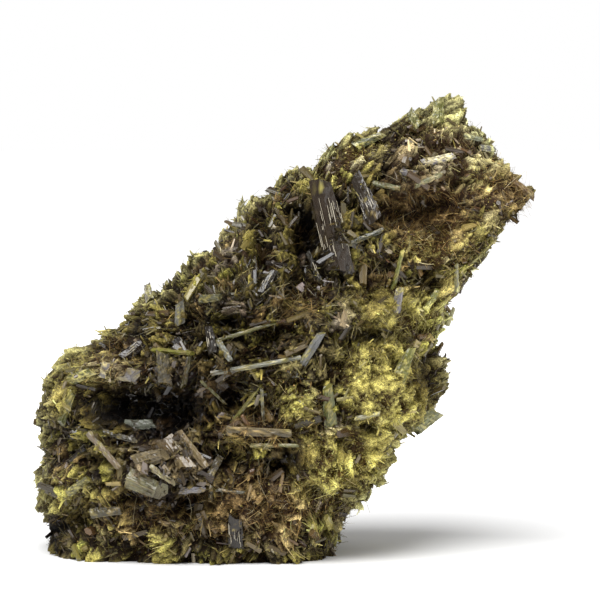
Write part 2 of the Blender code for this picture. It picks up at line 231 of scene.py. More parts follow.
SWELLINGS = (
    ((15.7, 27.8), 6.4, 8.4, 0, 4.4), ((8.8, 14.8), 8.2, 5.2, 12, 4.4),
    ((-21, 15), 8.4, 5.8, 0, 4.4), ((-18.5, 31.2), 4, 4.4, 0, 3.4),
    ((-28.5, 30.2), 5.2, 2.4, 0, 3.4), ((27.3, 65.8), 9.4, 4, 0, 2.8),
    ((19.8, 61), 8.4, 1.7, 4, 3), ((7.3, 39.2), 12.4, 2.4, 0, 2.6),
    ((-35, 10.3), 5, 4, 0, 2.2), ((-6, 43.7), 8.4, 5, 0, 2.4),
    ((-6.8, 19.6), 6.4, 1.7, 0, 3),
)
BROKEN_FACES = (
    ((0.16, 0.96, 0.24), 27), ((-0.52, 0.80, 0.30), 30.5),
    ((0.34, 0.84, -0.42), 8.5), ((-0.22, 0.90, -0.38), 14),
    ((-0.93, 0.36, 0.05), 40.5), ((0.62, 0.72, -0.30), 14.5),
)
FACE_HARDNESS = 0.85
LUMPS = (11.0, 1.3)
BLOCKS = ((5.2, 1.5), (2.9, 0.7))
print("outline points:", len(OUTLINE), "hollows:", len(HOLLOWS), "swellings:", len(SWELLINGS))

# %% [markdown]
# A place on the front is given as it is seen: across and up, in millimetres, on an upright
# plane through the stone. `bump` is the soft round stamp that presses the hollows and
# swellings, with half its width and height and its turn in degrees. It also marks growths.

# %% Places and stamps
STAMP_SPREAD = 2.2
BLOCK_TILT = 1.3


def seen_at(points):
    """Where points of the stone are seen on the upright plane, as (across, up) columns."""
    nearer = EYE[1] / (EYE[1] - points[:, 1])
    across = EYE[0] + (points[:, 0] - EYE[0]) * nearer
    up = EYE[2] + (points[:, 2] - EYE[2]) * nearer
    return across, up


def bump(across, up, middle, half_width, half_height, turn):
    """1 at the middle of a stamp, falling smoothly to 0 at its edge."""
    c, s = math.cos(math.radians(turn)), math.sin(math.radians(turn))
    dx, dz = across - middle[0], up - middle[1]
    distance = ((dx * c + dz * s) / half_width) ** 2 + ((dz * c - dx * s) / half_height) ** 2
    return np.maximum(0.0, 1.0 - distance / STAMP_SPREAD) ** 2


def stamped(across, up, spots):
    """The sum of some stamps, each with its own strength."""
    total = np.zeros(len(across))
    for middle, half_width, half_height, turn, strength in spots:
        total += strength * bump(across, up, middle, half_width, half_height, turn)
    return total


def drawn_numbers(middle, series=7.3):
    """Three numbers from -1 to 1 that belong to one cell of a pattern."""
    return noise.cell_vector(middle * series) * 2.0 - Vector((1.0, 1.0, 1.0))


def block_face(spot):
    """Height of the tilted flat face of the block that covers this spot, about -1 to 1."""
    middle = noise.voronoi(spot)[1][0]
    tilt = drawn_numbers(middle)
    return 0.5 * tilt.x + BLOCK_TILT * tilt.dot(spot - middle)


# %% [markdown]
# ## The growth map
# Moss-like crust sits on two lumps at the lower right and along the left edge, brown felt
# fills the hollow under the crest and the lower middle, and pale blocks are under the crest
# and at the lower left. Some stretches are painted paler or darker, partly as light and
# shade on the larger forms and partly as the stone's own tone. A map of soft spots
# is easier to adjust than painted masks, and works at any resolution.

# %% Where each growth lives
MOSS_SPOTS = (
    ((15.4, 28.6), 6, 8, 8, 1.6), ((9, 14.6), 8.2, 5.6, 14, 1.6),
    ((23, 28), 3, 6.4, 0, 0.7), ((2.6, 22.4), 3.2, 4.6, 0, 0.7),
    ((-36.5, 28), 3.4, 6, -30, 0.7), ((-36, 9), 5, 4, 0, 0.55),
    ((-28.4, 37.4), 4.4, 2.4, 35, 0.5), ((26, 71.8), 5, 2.6, 0, 0.1),
    ((13, 67), 5, 2.6, 25, 0.5), ((14, 42.4), 5.6, 1.6, 8, 0.5),
    ((18.6, 40), 8, 4.4, 0, 1), ((22.8, 51.6), 5, 2.8, 20, 0.5),
    ((33.4, 54), 5, 2.6, 50, 0.6), ((26.6, 47), 2.6, 5, 0, 0.5),
    ((20.4, 23), 4, 5, 0, 0.6), ((33, 62.5), 6, 2.2, -20, 0.3),
)
FELT_SPOTS = (
    ((22.4, 57.6), 8, 4, 8, 1.6), ((25, 52.4), 7, 3.6, 14, 1.1),
    ((36.6, 60.4), 5.4, 4.4, -40, 1.2), ((2.6, 42), 5.2, 3, 0, 0.7),
    ((-5.6, 8), 11, 5.4, 0, 1), ((-5, 20.4), 8, 3.4, 0, 0.8),
    ((-13, 28), 6, 4, 0, 0.4), ((-24, 6.6), 8, 4, 0, 0.7),
    ((-29, 32), 6, 3.4, 0, 0.4),
)
PALE_SPOTS = (
    ((-20.2, 15), 8, 6, 0, 1.4), ((-29, 30), 5, 3, 0, 0.8),
    ((26, 66), 10, 5.6, 0, 1.2), ((-18, 31), 4, 4, 0, 0.8),
    ((22.4, 22.2), 3.4, 2.6, 30, 0.8), ((12, 5), 4, 4, 40, 0.8),
)
NEEDLE_SPOTS = (
    ((-7, 43.7), 8.4, 3.6, 20, 1.2), ((3.6, 41.6), 7, 3.6, 0, 1.2),
    ((18, 37), 8, 5, 0, 0.8), ((10, 7), 7, 5, 40, 1.2),
    ((-4, 24), 7, 4.6, 30, 1), ((18, 50), 7, 5, 60, 0.6),
)
# Spots painted lighter or darker: partly light and shade on the larger forms, partly tone.
SHADE_AND_TONE_SPOTS = (
    ((28.5, 68), 7.4, 4.6, -12, 1.7), ((36, 67.5), 3.4, 3.4, 0, 0.9),
    ((9.4, 64.5), 4.6, 4.6, 30, 1.6), ((31, 61), 6, 3.4, -10, 1.5),
    ((29, 52), 4.4, 5, -30, 0.9), ((20.6, 50), 5, 3.2, 0, 0.8),
    ((26, 42), 4.4, 6, 0, 1.3), ((24, 35), 4.6, 5, 0, 1),
    ((14.5, 42.5), 3.6, 3.2, 0, -0.65), ((15.6, 61.6), 3.6, 3.2, 0, -0.75),
    ((9, 35.5), 3.6, 3, 0, 0.55), ((2, 28.5), 4, 4.2, 0, 2),
    ((18, 22), 5, 4, 0, 0.4), ((10.4, 10.6), 6, 5, 20, 1.6),
    ((1.6, 15.4), 4, 3.6, 0, -0.9), ((3, 3.4), 6, 3.6, 0, 1.9),
    ((-31, 30), 4, 3.4, 0, 0.8), ((-15.6, 28.4), 8.4, 5, 0, -0.9),
    ((-22, 22.4), 13, 3.8, 0, -0.7), ((-11, 35), 6.4, 4, 0, -0.35),
    ((-24, 36), 4.4, 3.4, 0, -0.3), ((-6, 41.8), 8, 5, 30, -0.6),
    ((7.6, 51.2), 6, 7, -40, -0.75), ((-4, 55), 4, 4, 45, -0.35),
    ((-20.4, 15.4), 7.4, 4.4, 0, -0.55), ((-21.6, 9.2), 8, 3.6, 0, -0.8),
    ((-31.4, 22), 4.4, 3.2, 0, -0.45), ((-10.6, 9), 4, 3, 0, -0.4),
    ((2, 9.2), 3.6, 2.8, 0, 1), ((-32, 1.8), 4.6, 2.8, 0, 2.4),
    ((-20, 1.8), 8, 2.8, 0, 1.2), ((-39, 2.6), 3, 3, 0, -1.1),
    ((-38, 10.4), 3.2, 3.6, 0, 0.7), ((-4, 2.6), 5, 3, 0, 1),
)
MOSS_OVER_FELT = 0.7
FULL_HOLLOW = 3.0


def growth_shares(across, up):
    """How much moss and felt cover each place, from 0 to 1."""
    moss = np.clip(stamped(across, up, MOSS_SPOTS), 0.0, 1.0)
    felt = np.clip(stamped(across, up, FELT_SPOTS), 0.0, 1.0)
    return moss, felt * (1.0 - MOSS_OVER_FELT * moss)


def hollow_share(across, up):
    """How far each place lies in a hollow, from 0 to 1."""
    return np.clip(stamped(across, up, HOLLOWS) / FULL_HOLLOW, 0.0, 1.0)


print("spots of moss, felt and pale blocks:", len(MOSS_SPOTS), len(FELT_SPOTS), len(PALE_SPOTS))

# %% [markdown]
# ## Colours of the stone
# Epidote runs from pistachio green through olive to almost black, depending on how thick
# the crystal is. A finish reads each point's own tint, so one material can hold thousands
# of crystals. Each kind of ground has two paints: for its joints, and for its crests, and
# the ground's painted light and shade mix between them: joints painted dark as shade,
# crests painted light.

# %% Paint chart
def paint(red, green, blue):
    """A colour as a paint chart gives it, 0 to 255, as the linear light a shader needs."""
    chart = np.array((red, green, blue)) / 255.0
    return np.where(chart < 0.04045, chart / 12.92, ((chart + 0.055) / 1.055) ** 2.4)


# Columns: where the kind ends, its paint in painted shade, its paint in painted light.
GROUND_KINDS = (
    (0.36, paint(32, 21, 8), paint(160, 148, 78)),
    (0.62, paint(19, 11, 5), paint(114, 102, 64)),
    (0.80, paint(28, 20, 8), paint(153, 146, 70)),
    (0.93, paint(33, 20, 8), paint(159, 135, 86)),
    (1.00, paint(36, 24, 15), paint(182, 167, 144)),
)
MOSS_GROUND = (paint(50, 35, 10), paint(210, 198, 112))
FELT_GROUND = (paint(38, 22, 11), paint(184, 155, 104))
# The rim paint is painted light: the edge paler, as light shining through it.
RIM_PAINTED_LIGHT = (paint(44, 33, 13), paint(204, 199, 140))
PALE_GROUND = (paint(41, 27, 15), paint(199, 181, 140))
PALE_SHARE = 0.68
print("kinds of ground between the growths:", len(GROUND_KINDS))

# %% [markdown]
# ## The ground mass
# Between the loose blades the eye meets a crust of older ones, in small sheaves: within a
# sheaf the blades run side by side. A Voronoi pattern makes the sheaves, and a second one,
# squeezed along each sheaf's axis, makes its blades, each with a tilted flat face and a
# groove round it. Light and shade are painted into the crust's colour: what stands proud is
# painted light, and what lies deep, in cracks and grooves, is painted dark as shade.

# %% A crust of sheaves
SHEAF_SIZE, SHEAF_HEIGHT, SHEAF_TILT = 3.4, 0.6, 0.9
CRACK_DEPTH, CRACK_SHARPNESS = 1.2, 5.5
BLADE_SIZE, BLADE_HEIGHT, BLADE_SQUEEZE = 0.9, 0.5, 0.72
GROOVE_DEPTH, GROOVE_SHARPNESS = 0.7, 4.5
# Painted light on proud sheaves and blade faces, painted shade in cracks and grooves.
BASE_LIGHT, SHEAF_PAINTED_LIGHT, CRACK_PAINTED_SHADE = 0.41, 0.32, 0.62
FACE_PAINTED_LIGHT, BLADE_LIGHT, GROOVE_PAINTED_SHADE = 0.48, 0.18, 0.48
AXIS_SERIES = 3.7


def sheaf_axis(middle):
    """The direction of the blades in one sheaf."""
    return drawn_numbers(middle, AXIS_SERIES).normalized()


def sheaf_crust(spot):
    """Rise of a bladed crust in mm, its painted light and shade, and the sheaf's own number."""
    gaps, sheaves = noise.voronoi(spot / SHEAF_SIZE)
    drawn = drawn_numbers(sheaves[0])
    axis = sheaf_axis(sheaves[0])
    sheaf = 0.5 * drawn.y + SHEAF_TILT * drawn.dot(spot / SHEAF_SIZE - sheaves[0])
    crack = max(0.0, 1.0 - CRACK_SHARPNESS * (gaps[1] - gaps[0]))
    squeezed = spot / BLADE_SIZE
    squeezed = squeezed - axis * (squeezed.dot(axis) * BLADE_SQUEEZE)
    distances, middles = noise.voronoi(squeezed)
    blade = drawn_numbers(middles[0])
    face = 0.5 * blade.x + blade.dot(squeezed - middles[0])
    groove = max(0.0, 1.0 - GROOVE_SHARPNESS * (distances[1] - distances[0]))
    rise = SHEAF_HEIGHT * sheaf - CRACK_DEPTH * crack
    rise += BLADE_HEIGHT * (face - GROOVE_DEPTH * groove)
    # Proud faces painted light, cracks and grooves painted shade; the blade's number is tone.
    light = BASE_LIGHT + SHEAF_PAINTED_LIGHT * sheaf - CRACK_PAINTED_SHADE * crack
    light += FACE_PAINTED_LIGHT * face
    light += BLADE_LIGHT * blade.y
    light -= GROOVE_PAINTED_SHADE * groove
    return rise, light, 0.5 + 0.5 * drawn.x


# %% [markdown]
# Moss is round knobs on knobs, painted lighter on the knobs and darker in the pores, as
# light and shade, and felt softens the blades. Both replace the bladed crust as far as the
# growth map says. The rest of the relief is the same everywhere; its raised blocks are
# painted lighter, as light falling on them.

# %% All of the relief
# Each scale of knob: its size, its height, and the painted light it adds on top.
KNOBS = ((2.1, 0.95, 1.05), (0.8, 0.42, 0.65))
KNOB_MIDDLE = 0.45
MOSS_LIGHT, MOSS_PATCHES, MOSS_PATCH_SIZE = 0.44, 0.5, 3.2
LEAST_MOSS = 0.02
FELT_SOFTENS = 0.6
FINE_SIZE, FINE_HEIGHT, FINE_LIGHT = 0.34, 0.10, 0.28
# Raised block faces are painted lighter, as light falling on them.
BLOCK_PAINTED_LIGHT = 0.14


def knobby_crust(spot):
    """Rise and painted light of moss-like crust: knobs painted light, pores painted shade."""
    rise, light = 0.0, MOSS_LIGHT + MOSS_PATCHES * noise.noise(spot / MOSS_PATCH_SIZE)
    for size, height, weight in KNOBS:
        knob = KNOB_MIDDLE - noise.voronoi(spot / size)[0][0]
        rise += height * knob
        light += weight * knob
    return rise, light


def roughened(points, ways):
    """Points with lumps, blocks and crust, their painted light and shade, and sheaf's number."""
    moss, felt = growth_shares(*seen_at(points))
    rise, light, kind = np.zeros(len(points)), np.zeros(len(points)), np.zeros(len(points))
    for row, point in enumerate(points):
        spot = Vector(point)
        height = LUMPS[1] * noise.fractal(spot / LUMPS[0], 1.0, 2.0, 2)
        blocks = [block_height * block_face(spot / size) for size, block_height in BLOCKS]
        fine = noise.noise(spot / FINE_SIZE)
        crust, bright, kind[row] = sheaf_crust(spot)
        crust *= 1.0 - FELT_SOFTENS * felt[row]
        if moss[row] > LEAST_MOSS:
            knobs, knob_light = knobby_crust(spot)
            crust += moss[row] * (knobs - crust)
            bright += moss[row] * (knob_light - bright)
        rise[row] = height + sum(blocks) + crust + FINE_HEIGHT * fine
        # Raised blocks painted lighter, as light falling on them; the fine noise is a random tone.
        light[row] = bright + BLOCK_PAINTED_LIGHT * sum(blocks) + FINE_LIGHT * fine
    return points + ways * rise[:, None], np.clip(light, 0.0, 1.0), kind


# %% [markdown]
# The ground's colour follows its relief, through painted light and shade. Every sheaf has
# one of five kinds, and growths tint what they cover. At the rim the stone is painted paler,
# as light shining through its edge, and the hollows are painted darker, as shade. Listed
# spots add painted light and shade and the stone's own tone. Where the paint is lighter it
# is also a little cooler, and where darker a little warmer.

# %% Colour of the ground
# The last rim number is how much of the painted rim light is mixed in.
RIM_START, RIM_WIDTH, RIM_FOOT, RIM_PAINTED_LIGHT_SHARE = 0.94, 0.06, 6.0, 0.7
# Hollows painted darker as shade, less where felt fills them.
HOLLOW_PAINTED_SHADE, FELT_LIFTS = 0.8, 0.6
# Bounds of the spots' painted light and shade and tone.
SHADE_AND_TONE_LEAST, SHADE_AND_TONE_MOST = 0.12, 2.6
# Painted shade also warms the colour, and painted light cools it.
SHADE_TINTING = (0.90, 1.0, 1.06)


def outline_reach(angles):
    """How far the outline lies from the heart in each direction."""
    points = np.array(OUTLINE) - np.array(HEART)
    turn = np.arctan2(points[:, 1], points[:, 0])
    return np.interp(angles, turn, np.hypot(points[:, 0], points[:, 1]), period=math.tau)


def rim_share(across, up):
    """1 at the edge of the outline, falling to 0 a few millimetres inside it."""
    dx, dz = across - HEART[0], up - HEART[1]
    reached = np.hypot(dx, dz) / outline_reach(np.arctan2(dz, dx))
    near_rim = np.clip((reached - RIM_START) / RIM_WIDTH, 0.0, 1.0)
    return near_rim * np.clip(up / RIM_FOOT, 0.0, 1.0)


def ground_shade(across, up):
    """How much lighter or darker the stone is painted than its chart, with shade in hollows."""
    felt = growth_shares(across, up)[1]
    # Listed spots painted lighter or darker: partly light and shade, partly the stone's tone.
    shade_and_tone = 1.0 + stamped(across, up, SHADE_AND_TONE_SPOTS)
    shade_and_tone = np.clip(shade_and_tone, SHADE_AND_TONE_LEAST, SHADE_AND_TONE_MOST)
    return shade_and_tone * (1.0 - HOLLOW_PAINTED_SHADE * hollow_share(across, up) * (1.0 - FELT_LIFTS * felt))


def ground_tints(points, light, kind):
    """The colour of every point of the ground, from its kind, growth, painted light and shade."""
    across, up = seen_at(points)
    moss, felt = growth_shares(across, up)
    # Painted light at the rim, as light shining through the edge, less where felt is.
    rim = RIM_PAINTED_LIGHT_SHARE * rim_share(across, up) * (1.0 - felt)
    pale = PALE_SHARE * np.clip(stamped(across, up, PALE_SPOTS), 0.0, 1.0)
    lit = (light * light * (3.0 - 2.0 * light))[:, None]
    tints = np.zeros((len(points), 3))
    before = 0.0
    for until, deep, crest in GROUND_KINDS:
        here = (kind >= before) & (kind < until + 1e-6)
        tints[here] = deep + lit[here] * (crest - deep)
        before = until
    layers = ((felt, FELT_GROUND), (pale, PALE_GROUND), (rim, RIM_PAINTED_LIGHT), (moss, MOSS_GROUND))
    for share, (deep, crest) in layers:
        tints += share[:, None] * (deep + lit * (crest - deep) - tints)
    return tints * ground_shade(across, up)[:, None] ** SHADE_TINTING


# %% [markdown]
# The surface starts as a ball of some 300,000 triangles, crowded towards the front, where
# it is looked at most. It is drawn out to the outline, and rises and sinks with the relief.

# %% Draw the ground mass
GROUND_CROWDING = (0.20, -0.46, 0.14)
GROUND_SUBDIVISIONS = 8
RELIEF_FADE = 2.2


def ground_points(ways):
    """The points of the ground mass in these directions from its heart."""
    rim = np.hypot(ways[:, 0], ways[:, 2])
    angles = np.arctan2(ways[:, 2], ways[:, 0])
    out = outline_reach(angles) * rim**BOXINESS
    points = np.zeros_like(ways)
    points[:, 0] = HEART[0] + out * np.cos(angles)
    points[:, 2] = HEART[1] + out * np.sin(angles)
    from_heart = points[:, 0] - HEART[0], points[:, 2] - HEART[1]
    towards_tip = from_heart[0] * TIP_AXIS[0] + from_heart[1] * TIP_AXIS[1]
    thinning = THINNING * np.clip(towards_tip / TIP_REACH, 0.0, 1.0)
    share = np.abs(ways[:, 1]) ** BOXINESS
    front = ways[:, 1] < 0
    points[:, 1] = np.where(front, -(FRONT_DEPTH - thinning), BACK_DEPTH - thinning) * share
    across, up = seen_at(points)
    relief = stamped(across, up, SWELLINGS) - stamped(across, up, HOLLOWS)
    points[:, 1] -= np.where(front, relief * np.minimum(1.0, RELIEF_FADE * share), 0.0)
    for direction, distance in BROKEN_FACES:
        face = np.array(direction) / np.linalg.norm(direction)
        beyond = np.maximum(0.0, points @ face - distance)
        points -= np.outer(beyond * FACE_HARDNESS, face)
    return points


shape = bmesh.new()
bmesh.ops.create_icosphere(shape, subdivisions=GROUND_SUBDIVISIONS, radius=1.0)
ways = np.array([vertex.co for vertex in shape.verts]) + np.array(GROUND_CROWDING)
ways /= np.linalg.norm(ways, axis=1)[:, None]
GROUND_SPOTS, GROUND_LIGHT, GROUND_KIND = roughened(ground_points(ways), ways)
GROUND_TINTS = ground_tints(GROUND_SPOTS, GROUND_LIGHT, GROUND_KIND)
GROUND_SPOTS[:, 2] = np.maximum(GROUND_SPOTS[:, 2], 0.0)
GROUND_FACES = np.array([[vertex.index for vertex in face.verts] for face in shape.faces])
shape.free()
print("ground points:", len(GROUND_SPOTS), "faces:", len(GROUND_FACES))

# %% [markdown]
# A crystal needs a point on the ground and the way out of the rock there. Both are read
# once as plain arrays, so that thousands can be planted at a stroke. The back gets fewer.

# %% Read the ground as arrays
LOWEST_PLANTED = 0.7
BACK_STARTS, BACK_THINNING = 0.35, 0.5
ROCK_HALF_SIZE = (40.0, 20.0, 40.0)
OWN_WAY, ROCK_WAY = 0.6, 0.8

corners = GROUND_SPOTS[GROUND_FACES]
FACE_MIDDLES = corners.mean(axis=1)
FACE_NORMALS = np.cross(corners[:, 1] - corners[:, 0], corners[:, 2] - corners[:, 0])
FACE_AREAS = np.linalg.norm(FACE_NORMALS, axis=1) / 2.0
FACE_NORMALS /= np.maximum(2.0 * FACE_AREAS, 1e-9)[:, None]
FACE_ACROSS, FACE_UP = seen_at(FACE_MIDDLES)
FACE_TINTS = GROUND_TINTS[GROUND_FACES].mean(axis=1)
FACE_SHADE = ground_shade(FACE_ACROSS, FACE_UP)

ROCK_OUTWARD = (FACE_MIDDLES - np.array((HEART[0], 0.0, HEART[1]))) / ROCK_HALF_SIZE
ROCK_OUTWARD /= np.linalg.norm(ROCK_OUTWARD, axis=1)[:, None]
PLANT_AREAS = np.where(FACE_MIDDLES[:, 2] > LOWEST_PLANTED, FACE_AREAS, 0.0)
at_back = FACE_NORMALS[:, 1] > BACK_STARTS
PLANT_AREAS = np.where(at_back, PLANT_AREAS * BACK_THINNING, PLANT_AREAS)


def plant(count, weights, draw):
    """Draw places on the ground, as points, ways out, and the ground's tints and painted shade."""
    chance = PLANT_AREAS * weights
    rows = draw.choice(len(chance), size=count, p=chance / chance.sum())
    outward = OWN_WAY * FACE_NORMALS[rows] + ROCK_WAY * ROCK_OUTWARD[rows]
    outward /= np.linalg.norm(outward, axis=1)[:, None]
    return FACE_MIDDLES[rows], outward, np.column_stack([FACE_TINTS[rows], FACE_SHADE[rows]])


print("area to plant in cm2:", round(float(PLANT_AREAS.sum()) / 100, 1))

# %% [markdown]
# ## Tints of the crystals
# Every crystal gets one colour from its growth's chart, a little lighter or darker, mixed
# with that of the ground it stands on and darkened by the ground's painted shade. So what
# grows where the ground is painted dark as shade stays dark. A texture laid over all of
# them could not do that.

# %% Crystal charts
def paints(*colours):
    """Some colours of the paint chart as a list."""
    return [paint(*colour) for colour in colours]


NIGHT = paints((49, 36, 20), (63, 49, 26), (77, 61, 33), (63, 44, 28), (36, 26, 15))
OLIVE = paints((99, 92, 43), (121, 114, 55), (79, 70, 36), (142, 133, 75), (97, 81, 47))
PISTACHIO = paints((179, 169, 80), (197, 187, 105), (155, 144, 63), (210, 200, 130))
PISTACHIO += paints((136, 122, 56))
FELT_BROWN = paints((132, 104, 59), (153, 124, 76), (108, 82, 48), (171, 147, 97))
ASH = paints((162, 148, 132), (150, 138, 134), (180, 167, 139), (157, 135, 104))
FROST = paints((178, 166, 132), (148, 136, 100), (198, 188, 160))
SHADE_CARRIED = 0.7
DARKEST_TINT, LIGHTEST_TINT = 0.003, 0.85


def shades(under, share, palette, spread, draw):
    """One tint per crystal: partly the ground's under it, partly the palette's, in painted shade.
    """
    count = len(under)
    chosen = np.array(palette)[draw.integers(len(palette), size=count)]
    lighter = np.exp(draw.normal(0.0, spread, size=count))
    # The ground's painted shade darkens the crystal's own colour as well.
    own = chosen * under[:, 3:] ** SHADE_CARRIED
    mixed = own * (1.0 - share) + under[:, :3] * share
    return np.clip(mixed * lighter[:, None], DARKEST_TINT, LIGHTEST_TINT)


print("colours for dark and for olive crystals:", len(NIGHT), len(OLIVE))

# %% [markdown]
# ## One recipe for the finishes
# Glassy prisms, sugary crust and dull fibre differ in gloss, and all are finely striated or
# pitted. One recipe makes every finish: a soft noise, stretched along the crystal, mottles
# the tint, dulls the gloss in places and goes into a bump.

# %% Recipe for the finishes
MOTTLE_FROM = (0.32, 0.68)
DULL_FROM = (0.3, 0.7)
DULL_SPREAD = 0.12
GLASS_IOR = 1.5


def stretched(nodes, links, source, old, new):
    """The output of a node that maps one range of values to another."""
    ranges = {"From Min": old[0], "From Max": old[1], "To Min": new[0], "To Max": new[1]}
    made = add_node(nodes, "MapRange", ranges)
    links.new(source, made.inputs["Value"])
    return made.outputs["Result"]


def mineral_finish(name, roughness, sheen_of_glass, striation, mottle, bump_depth):
    """A material that reads each crystal's tint and striates it along its length."""
    made = bpy.data.materials.new(name)
    made.use_nodes = True
    nodes, links = made.node_tree.nodes, made.node_tree.links
    shader = nodes["Principled BSDF"]
    set_sockets(shader, {"Specular IOR Level": sheen_of_glass, "IOR": GLASS_IOR})

    grain = add_node(nodes, "Attribute", {}, attribute_name="grain")
    along_grain = add_node(nodes, "VectorMath", {1: striation}, operation="MULTIPLY")
    links.new(grain.outputs["Vector"], along_grain.inputs[0])
    soft = add_node(nodes, "TexNoise", {"Scale": 1.0, "Detail": 3.0, "Roughness": 0.6})
    links.new(along_grain.outputs["Vector"], soft.inputs["Vector"])
    streaks = soft.outputs["Fac"]

    lighter = stretched(nodes, links, streaks, MOTTLE_FROM, (1.0 - mottle, 1.0 + mottle))
    tint = add_node(nodes, "Attribute", {}, attribute_name="tint")
    mottled = add_node(nodes, "VectorMath", {}, operation="SCALE")
    links.new(tint.outputs["Color"], mottled.inputs["Vector"])
    links.new(lighter, mottled.inputs["Scale"])
    links.new(mottled.outputs["Vector"], shader.inputs["Base Color"])
    dull_range = (roughness - DULL_SPREAD, roughness + DULL_SPREAD)
    dull = stretched(nodes, links, streaks, DULL_FROM, dull_range)
    links.new(dull, shader.inputs["Roughness"])

    ridge = add_node(nodes, "Bump", {"Distance": bump_depth * MM, "Strength": 1.0})
    links.new(streaks, ridge.inputs["Height"])
    links.new(ridge.outputs["Normal"], shader.inputs["Normal"])
    return made


VITREOUS = mineral_finish("vitreous_epidote", 0.21, 0.58, (7.0, 7.0, 0.6), 0.24, 0.05)
BLADED = mineral_finish("bladed_epidote", 0.28, 0.36, (9.0, 9.0, 0.8), 0.30, 0.05)
CRUST = mineral_finish("granular_crust", 0.42, 0.24, (3.0, 3.0, 3.0), 0.30, 0.08)
FIBROUS = mineral_finish("fibrous_felt", 0.66, 0.05, (4.0, 4.0, 0.8), 0.25, 0.04)
MATRIX = mineral_finish("ground_mass", 0.46, 0.14, (5.0, 5.0, 5.0), 0.85, 0.16)
print("finishes:", [m.name for m in (VITREOUS, BLADED, CRUST, FIBROUS, MATRIX)])

# %% [markdown]
# ## Make the ground mass
# The ground is made in two halves, which keeps each mesh easy to handle. They replace the
# plain solid in the picture, and the solid stays in the simulation for contact.

# %% Make the ground's two halves
shift = np.array(MIDDLE)


def new_piece(name, spots, faces, tints, grain, finish):
    """Put a mesh on the stone, with a tint and a place in the grain kept on each point."""
    mesh = bpy.data.meshes.new(name)
    mesh.from_pydata(((spots - shift) * MM).tolist(), [], faces)
    colours = np.ones((len(tints), 4))
    colours[:, :3] = tints
    layer = mesh.attributes.new("tint", "FLOAT_COLOR", "POINT")
    layer.data.foreach_set("color", colours.ravel())
    layer = mesh.attributes.new("grain", "FLOAT_VECTOR", "POINT")
    layer.data.foreach_set("vector", grain.astype(np.float32).ravel())
    made = bpy.data.objects.new(name, mesh)
    bpy.context.scene.collection.objects.link(made)
    mesh.materials.append(finish)
    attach(made, "root")
    print(name, "faces:", len(mesh.polygons))
    return made


def ground_half(name, rows):
    """One half of the ground mass, as a mesh of its own."""
    used, faces = np.unique(GROUND_FACES[rows], return_inverse=True)
    spots, faces = GROUND_SPOTS[used], faces.reshape(-1, 3).tolist()
    made = new_piece(name, spots, faces, GROUND_TINTS[used], spots, MATRIX)
    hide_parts("epidote_cluster")


left = FACE_MIDDLES[:, 0] < np.median(FACE_MIDDLES[:, 0])
ground_half("ground_mass_left", left)
ground_half("ground_mass_right", ~left)

# %% [markdown]
# ## How a crystal is made
# Epidote grows as prisms that are longer than wide and rather flat. A unit crystal is a
# short list of points and faces: finely divided for the few large prisms, and as plain as
# can be for blades, needles, hairs and grains, since thousands of them are needed.

# %% Unit crystals
def ring(sides, height, narrow, steps=1):
    """Points of a ring for a unit crystal, with some steps along each flat side."""
    turns = np.arange(sides + 1) * math.tau / sides + math.pi / sides
    edges = 0.5 * narrow * np.stack([np.cos(turns), np.sin(turns)], axis=1)
    shares = np.arange(steps) / steps
    spots = [a + (b - a) * share for a, b in zip(edges[:-1], edges[1:]) for share in shares]
    return [(x, y, height) for x, y in spots]


def unit_crystal(sides, taper, rings=1, steps=1):
    """A prism along +Z from 0 to 1, with flat ends."""
    levels = [step / rings for step in range(rings + 1)]
    corners = [spot for h in levels for spot in ring(sides, h, 1.0 - (1.0 - taper) * h, steps)]
    per = sides * steps
    walls = []
    for low in range(0, rings * per, per):
        for here, beside in [(i, (i + 1) % per) for i in range(per)]:
            walls.append((low + here, low + beside, low + per + beside, low + per + here))
    foot = tuple(range(per - 1, -1, -1))
    tip = tuple(range(rings * per, (rings + 1) * per))
    return np.array(corners), walls + [foot, tip]


PRISM = unit_crystal(6, 0.72)
THICK_PRISM = unit_crystal(6, 0.78, rings=16, steps=3)
LATH = unit_crystal(4, 0.8, rings=6)
HAIR = unit_crystal(3, 0.5, rings=3)
BLADE = unit_crystal(4, 0.4)
NEEDLE = unit_crystal(3, 0.45)
GRAIN = (
    np.array([(0.5, 0, 0), (0, 0.5, 0), (-0.5, 0, 0), (0, -0.5, 0), (0, 0, 0.5), (0, 0, -0.5)]),
    [(0, 1, 4), (1, 2, 4), (2, 3, 4), (3, 0, 4), (1, 0, 5), (2, 1, 5), (3, 2, 5), (0, 3, 5)],
)
print("faces of a thick prism and of a needle:", len(THICK_PRISM[1]), len(NEEDLE[1]))

# %% [markdown]
# An old crystal isn't clean: its edges are knocked, it is speckled, and crust creeps over
# it in patches. Noise moves its points a little, and the formula for the ground's colour
# covers the patches, so that they match the crust next to them.
# The seed makes the knocks the same in every run.

# %% Wear and crust
PATCH_SIZE, CHIP_SIZE, SPECK_SIZE = 1.1, 0.36, 0.25
BROAD_KNOCK = 0.4
SPECK_LIGHT = 0.28
CRUST_KIND = 0.2
CRUST_DEPTH = 0.8
MOST_CRUST = 0.9
noise.seed_set(1)


